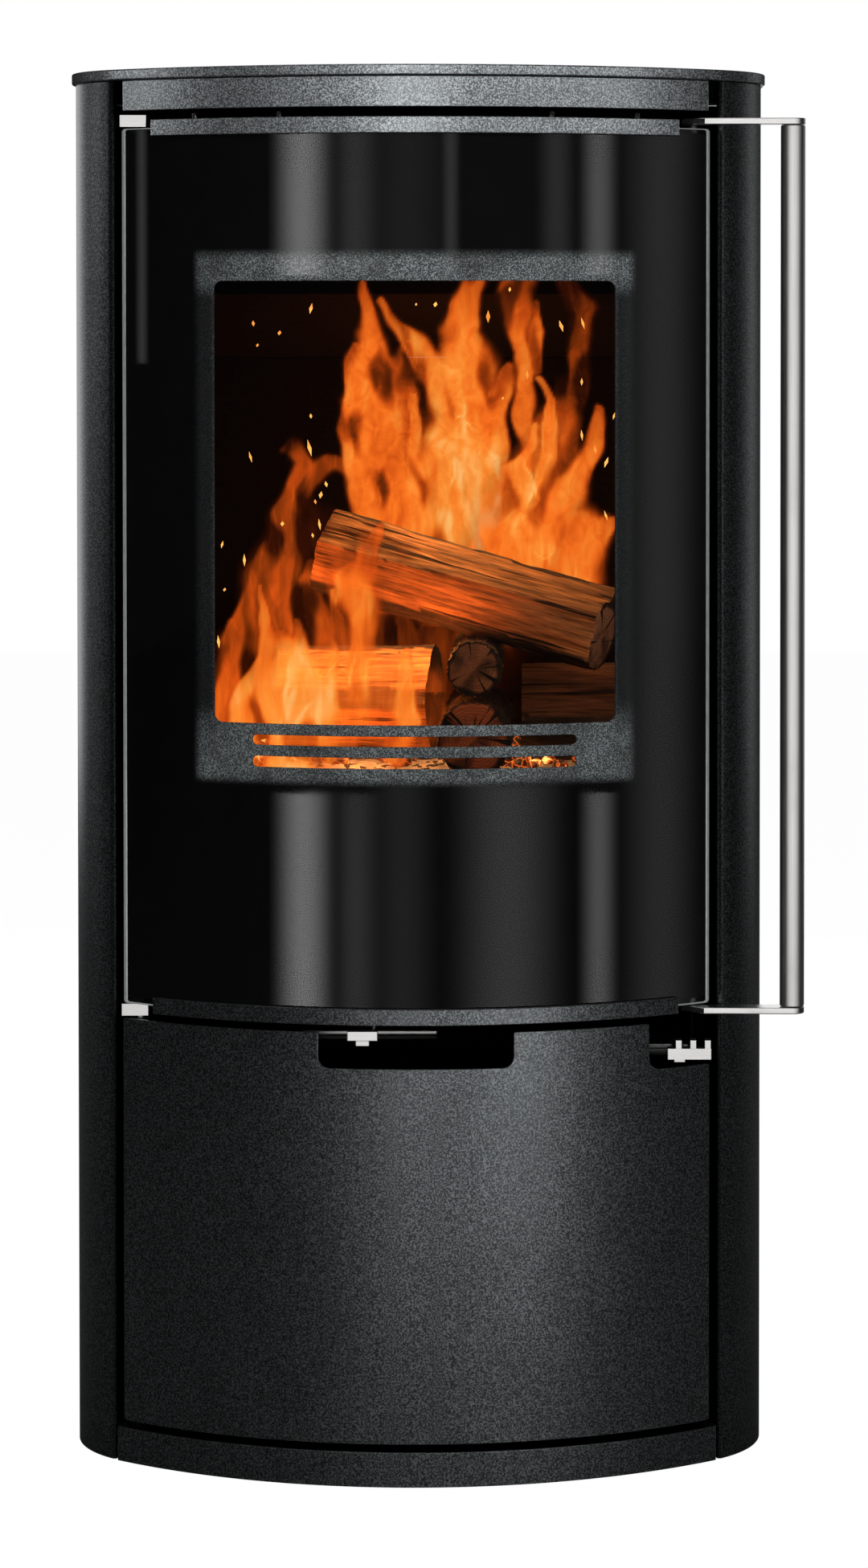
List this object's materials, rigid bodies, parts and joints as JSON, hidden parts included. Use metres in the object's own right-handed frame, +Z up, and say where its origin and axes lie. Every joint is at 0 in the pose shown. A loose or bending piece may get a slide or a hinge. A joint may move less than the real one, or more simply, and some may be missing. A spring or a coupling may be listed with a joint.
{
  "type": "wood stove",
  "caption": "Tall wood stove with a bowed front: a glass door with a full-height bar handle over a log store door, air levers between them, a lined firebox and a rear flue outlet.",
  "frame": {"origin": "on the floor, under the middle of the casing", "axes": "+Z up, -Y out of the front, +X towards the long handle"},
  "size_m": [0.5465, 0.436, 1.0322],
  "materials": {
    "casing_paint": "metallic anthracite heat-proof paint with fine speckle",
    "body_steel": "matt black heat-proof paint",
    "plain_steel": "plain rolled steel",
    "stainless": "satin stainless steel",
    "door_glass": "clear ceramic glass with polished edges, looking black over the panel",
    "cast_iron": "rough sooty cast iron",
    "vermiculite": "pressed vermiculite board, sooty",
    "rope_seal": "braided glass-fibre rope",
    "split_wood": "split and sawn firewood, charring"
  },
  "bodies": {
    "stove": {"base_plate": "casing_paint", "plinth_front": "casing_paint", "store_floor": "casing_paint", "left_side_panel": "casing_paint", "right_side_panel": "casing_paint", "rear_panel": "casing_paint", "top_plate": "casing_paint", "top_cover": "casing_paint", "fascia": "casing_paint", "flue_collar": "plain_steel", "front_frame": "body_steel", "left_wall": "body_steel", "right_wall": "body_steel", "rear_wall": "body_steel", "ash_shelf": "body_steel", "firebox_top": "body_steel", "hearth_plate": "body_steel", "grate": "cast_iron", "left_brick": "vermiculite", "right_brick": "vermiculite", "rear_brick": "vermiculite", "baffle": "vermiculite", "ash_pan": "body_steel", "air_box": "body_steel", "primary_duct": "body_steel", "upper_door_hinge": "stainless", "lower_door_hinge": "stainless", "store_hinge_pin": "stainless", "upper_keeper": "plain_steel", "lower_keeper": "plain_steel", "log_top": "split_wood", "log_round": "split_wood", "log_left": "split_wood", "log_bottom": "split_wood", "log_right": "split_wood"},
    "door": {"door_glass": "door_glass", "door_panel": "casing_paint", "door_frame": "body_steel", "door_seal": "rope_seal", "top_rail": "casing_paint", "bottom_rail": "casing_paint", "rail_screw_1": "stainless", "rail_screw_2": "stainless", "rail_screw_3": "stainless", "rail_screw_4": "stainless", "upper_hinge_eye": "body_steel", "lower_hinge_eye": "body_steel", "upper_shaft_bearing": "body_steel", "lower_shaft_bearing": "body_steel"},
    "handle": {"handle_bar": "stainless", "upper_handle_arm": "stainless", "lower_handle_arm": "stainless", "latch_shaft": "plain_steel"},
    "store_door": {"store_door_skin": "casing_paint", "store_door_liner": "body_steel", "store_upper_eye": "body_steel", "store_lower_eye": "body_steel"},
    "air_control": {"air_lever": "stainless"},
    "primary_control": {"primary_lever": "stainless"}
  },
  "joints": [
    {"name": "door_hinge", "type": "hinge", "parent": "stove", "child": "door", "pos_m": [-0.204, -0.13952, 0.6635], "axis": [0, 0, -1], "range_deg": [0, 90]},
    {"name": "handle_pivot", "type": "hinge", "parent": "door", "child": "handle", "pos_m": [0.204, -0.135, 0.66425], "axis": [0, 0, -1], "range_deg": [0, 25]},
    {"name": "store_door_hinge", "type": "hinge", "parent": "stove", "child": "store_door", "pos_m": [-0.204, -0.1437, 0.1808], "axis": [0, 0, -1], "range_deg": [0, 100]},
    {"name": "air_lever_slide", "type": "slide", "parent": "stove", "child": "air_control", "axis": [1, 0, 0], "range_m": [-0.018, 0.08]},
    {"name": "primary_lever_slide", "type": "slide", "parent": "stove", "child": "primary_control", "axis": [0, -1, 0], "range_m": [0, 0.025]}
  ]
}
